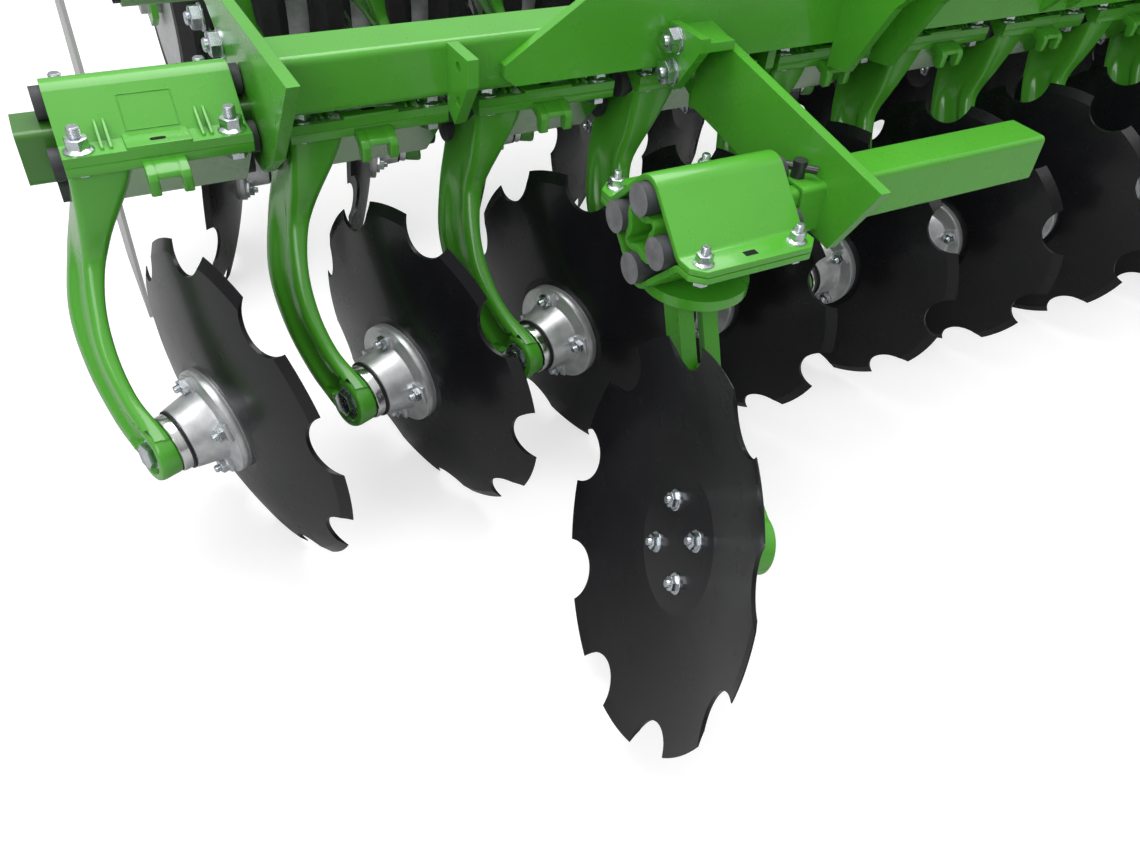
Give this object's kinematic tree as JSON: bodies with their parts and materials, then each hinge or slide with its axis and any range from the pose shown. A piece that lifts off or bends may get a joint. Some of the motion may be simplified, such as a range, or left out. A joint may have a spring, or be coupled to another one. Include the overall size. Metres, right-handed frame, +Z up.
{
  "type": "disc harrow",
  "caption": "Mounted compact disc harrow: two rows of notched discs on rubber-sprung curved arms, edge discs and a ring roller.",
  "frame": {"origin": "on the ground under the middle of the machine's bounding box", "axes": "+X across the machine to the right as seen from the headstock, +Y from the headstock towards the roller, +Z up"},
  "size_m": [3.2132, 2.4822, 1.4],
  "materials": {
    "green_paint": "gloss",
    "black_blade": "gloss",
    "black_rubber": "matte",
    "ring_rubber": "matte",
    "bright_steel": "satin",
    "dark_steel": "satin",
    "silver_drum": "satin",
    "grey_paint": "satin"
  },
  "bodies": {
    "frame": {"near_arms": "green_paint", "far_arms": "green_paint", "clamp_shells": "green_paint", "rubber_rods": "black_rubber", "disc_beams": "green_paint", "spindles": "bright_steel", "cross_tubes": "green_paint", "side_plates": "green_paint", "beam_hangers": "green_paint", "lengthwise_tubes": "green_paint", "headstock_plate": "green_paint", "headstock_tower": "green_paint", "lower_link_ears": "green_paint", "headstock_stays": "green_paint", "tube_lugs": "green_paint", "edge_brackets": "green_paint", "edge_pins": "dark_steel", "roller_frame": "green_paint", "scrapers": "green_paint", "side_deflector": "grey_paint"},
    "near_disc_01": {"near_disc_01": "black_blade"},
    "near_disc_02": {"near_disc_02": "black_blade"},
    "near_disc_03": {"near_disc_03": "black_blade"},
    "near_disc_04": {"near_disc_04": "black_blade"},
    "near_disc_05": {"near_disc_05": "black_blade"},
    "near_disc_06": {"near_disc_06": "black_blade"},
    "near_disc_07": {"near_disc_07": "black_blade"},
    "near_disc_08": {"near_disc_08": "black_blade"},
    "near_disc_09": {"near_disc_09": "black_blade"},
    "near_disc_10": {"near_disc_10": "black_blade"},
    "near_disc_11": {"near_disc_11": "black_blade"},
    "near_disc_12": {"near_disc_12": "black_blade"},
    "far_disc_01": {"far_disc_01": "black_blade"},
    "far_disc_02": {"far_disc_02": "black_blade"},
    "far_disc_03": {"far_disc_03": "black_blade"},
    "far_disc_04": {"far_disc_04": "black_blade"},
    "far_disc_05": {"far_disc_05": "black_blade"},
    "far_disc_06": {"far_disc_06": "black_blade"},
    "far_disc_07": {"far_disc_07": "black_blade"},
    "far_disc_08": {"far_disc_08": "black_blade"},
    "far_disc_09": {"far_disc_09": "black_blade"},
    "far_disc_10": {"far_disc_10": "black_blade"},
    "far_disc_11": {"far_disc_11": "black_blade"},
    "far_disc_12": {"far_disc_12": "black_blade"},
    "edge_left": {"edge_star_bar_left": "green_paint", "edge_clamp_left": "green_paint", "edge_rubber_rods_left": "black_rubber", "edge_post_left": "green_paint"},
    "edge_disc_left": {"edge_disc_left": "black_blade"},
    "edge_right": {"edge_star_bar_right": "green_paint", "edge_clamp_right": "green_paint", "edge_rubber_rods_right": "black_rubber", "edge_post_right": "green_paint"},
    "edge_disc_right": {"edge_disc_right": "black_blade"},
    "roller": {"roller_drum": "silver_drum", "roller_rings": "ring_rubber"}
  },
  "joints": [
    {"name": "near_disc_01_spin", "type": "hinge", "parent": "frame", "child": "near_disc_01", "pos_m": [-1.50822, -0.5882, 0.22568], "axis": [0.9547, 0.2901, 0.0663], "continuous": true},
    {"name": "near_disc_02_spin", "type": "hinge", "parent": "frame", "child": "near_disc_02", "pos_m": [-1.25822, -0.5882, 0.22568], "axis": [0.9547, 0.2901, 0.0663], "continuous": true},
    {"name": "near_disc_03_spin", "type": "hinge", "parent": "frame", "child": "near_disc_03", "pos_m": [-1.00822, -0.5882, 0.22568], "axis": [0.9547, 0.2901, 0.0663], "continuous": true},
    {"name": "near_disc_04_spin", "type": "hinge", "parent": "frame", "child": "near_disc_04", "pos_m": [-0.75822, -0.5882, 0.22568], "axis": [0.9547, 0.2901, 0.0663], "continuous": true},
    {"name": "near_disc_05_spin", "type": "hinge", "parent": "frame", "child": "near_disc_05", "pos_m": [-0.50822, -0.5882, 0.22568], "axis": [0.9547, 0.2901, 0.0663], "continuous": true},
    {"name": "near_disc_06_spin", "type": "hinge", "parent": "frame", "child": "near_disc_06", "pos_m": [-0.25822, -0.5882, 0.22568], "axis": [0.9547, 0.2901, 0.0663], "continuous": true},
    {"name": "near_disc_07_spin", "type": "hinge", "parent": "frame", "child": "near_disc_07", "pos_m": [-0.00822, -0.5882, 0.22568], "axis": [0.9547, 0.2901, 0.0663], "continuous": true},
    {"name": "near_disc_08_spin", "type": "hinge", "parent": "frame", "child": "near_disc_08", "pos_m": [0.24178, -0.5882, 0.22568], "axis": [0.9547, 0.2901, 0.0663], "continuous": true},
    {"name": "near_disc_09_spin", "type": "hinge", "parent": "frame", "child": "near_disc_09", "pos_m": [0.49178, -0.5882, 0.22568], "axis": [0.9547, 0.2901, 0.0663], "continuous": true},
    {"name": "near_disc_10_spin", "type": "hinge", "parent": "frame", "child": "near_disc_10", "pos_m": [0.74178, -0.5882, 0.22568], "axis": [0.9547, 0.2901, 0.0663], "continuous": true},
    {"name": "near_disc_11_spin", "type": "hinge", "parent": "frame", "child": "near_disc_11", "pos_m": [0.99178, -0.5882, 0.22568], "axis": [0.9547, 0.2901, 0.0663], "continuous": true},
    {"name": "near_disc_12_spin", "type": "hinge", "parent": "frame", "child": "near_disc_12", "pos_m": [1.24178, -0.5882, 0.22568], "axis": [0.9547, 0.2901, 0.0663], "continuous": true},
    {"name": "far_disc_01_spin", "type": "hinge", "parent": "frame", "child": "far_disc_01", "pos_m": [1.50822, 0.1158, 0.22568], "axis": [-0.9547, 0.2901, 0.0663], "continuous": true},
    {"name": "far_disc_02_spin", "type": "hinge", "parent": "frame", "child": "far_disc_02", "pos_m": [1.25822, 0.1158, 0.22568], "axis": [-0.9547, 0.2901, 0.0663], "continuous": true},
    {"name": "far_disc_03_spin", "type": "hinge", "parent": "frame", "child": "far_disc_03", "pos_m": [1.00822, 0.1158, 0.22568], "axis": [-0.9547, 0.2901, 0.0663], "continuous": true},
    {"name": "far_disc_04_spin", "type": "hinge", "parent": "frame", "child": "far_disc_04", "pos_m": [0.75822, 0.1158, 0.22568], "axis": [-0.9547, 0.2901, 0.0663], "continuous": true},
    {"name": "far_disc_05_spin", "type": "hinge", "parent": "frame", "child": "far_disc_05", "pos_m": [0.50822, 0.1158, 0.22568], "axis": [-0.9547, 0.2901, 0.0663], "continuous": true},
    {"name": "far_disc_06_spin", "type": "hinge", "parent": "frame", "child": "far_disc_06", "pos_m": [0.25822, 0.1158, 0.22568], "axis": [-0.9547, 0.2901, 0.0663], "continuous": true},
    {"name": "far_disc_07_spin", "type": "hinge", "parent": "frame", "child": "far_disc_07", "pos_m": [0.00822, 0.1158, 0.22568], "axis": [-0.9547, 0.2901, 0.0663], "continuous": true},
    {"name": "far_disc_08_spin", "type": "hinge", "parent": "frame", "child": "far_disc_08", "pos_m": [-0.24178, 0.1158, 0.22568], "axis": [-0.9547, 0.2901, 0.0663], "continuous": true},
    {"name": "far_disc_09_spin", "type": "hinge", "parent": "frame", "child": "far_disc_09", "pos_m": [-0.49178, 0.1158, 0.22568], "axis": [-0.9547, 0.2901, 0.0663], "continuous": true},
    {"name": "far_disc_10_spin", "type": "hinge", "parent": "frame", "child": "far_disc_10", "pos_m": [-0.74178, 0.1158, 0.22568], "axis": [-0.9547, 0.2901, 0.0663], "continuous": true},
    {"name": "far_disc_11_spin", "type": "hinge", "parent": "frame", "child": "far_disc_11", "pos_m": [-0.99178, 0.1158, 0.22568], "axis": [-0.9547, 0.2901, 0.0663], "continuous": true},
    {"name": "far_disc_12_spin", "type": "hinge", "parent": "frame", "child": "far_disc_12", "pos_m": [-1.24178, 0.1158, 0.22568], "axis": [-0.9547, 0.2901, 0.0663], "continuous": true},
    {"name": "edge_left_slide", "type": "slide", "parent": "frame", "child": "edge_left", "axis": [-1, 0, 0], "range_m": [0, 0.32]},
    {"name": "edge_disc_left_spin", "type": "hinge", "parent": "edge_left", "child": "edge_disc_left", "pos_m": [-1.0302, -1.03763, 0.2503], "axis": [-0.94, 0.2519, 0.23], "continuous": true},
    {"name": "edge_right_slide", "type": "slide", "parent": "frame", "child": "edge_right", "axis": [1, 0, 0], "range_m": [0, 0.32]},
    {"name": "edge_disc_right_spin", "type": "hinge", "parent": "edge_right", "child": "edge_disc_right", "pos_m": [1.0302, -1.03763, 0.2503], "axis": [0.94, 0.2519, 0.23], "continuous": true},
    {"name": "roller_spin", "type": "hinge", "parent": "frame", "child": "roller", "pos_m": [0, 0.9291, 0.26], "axis": [1, 0, 0], "continuous": true}
  ]
}
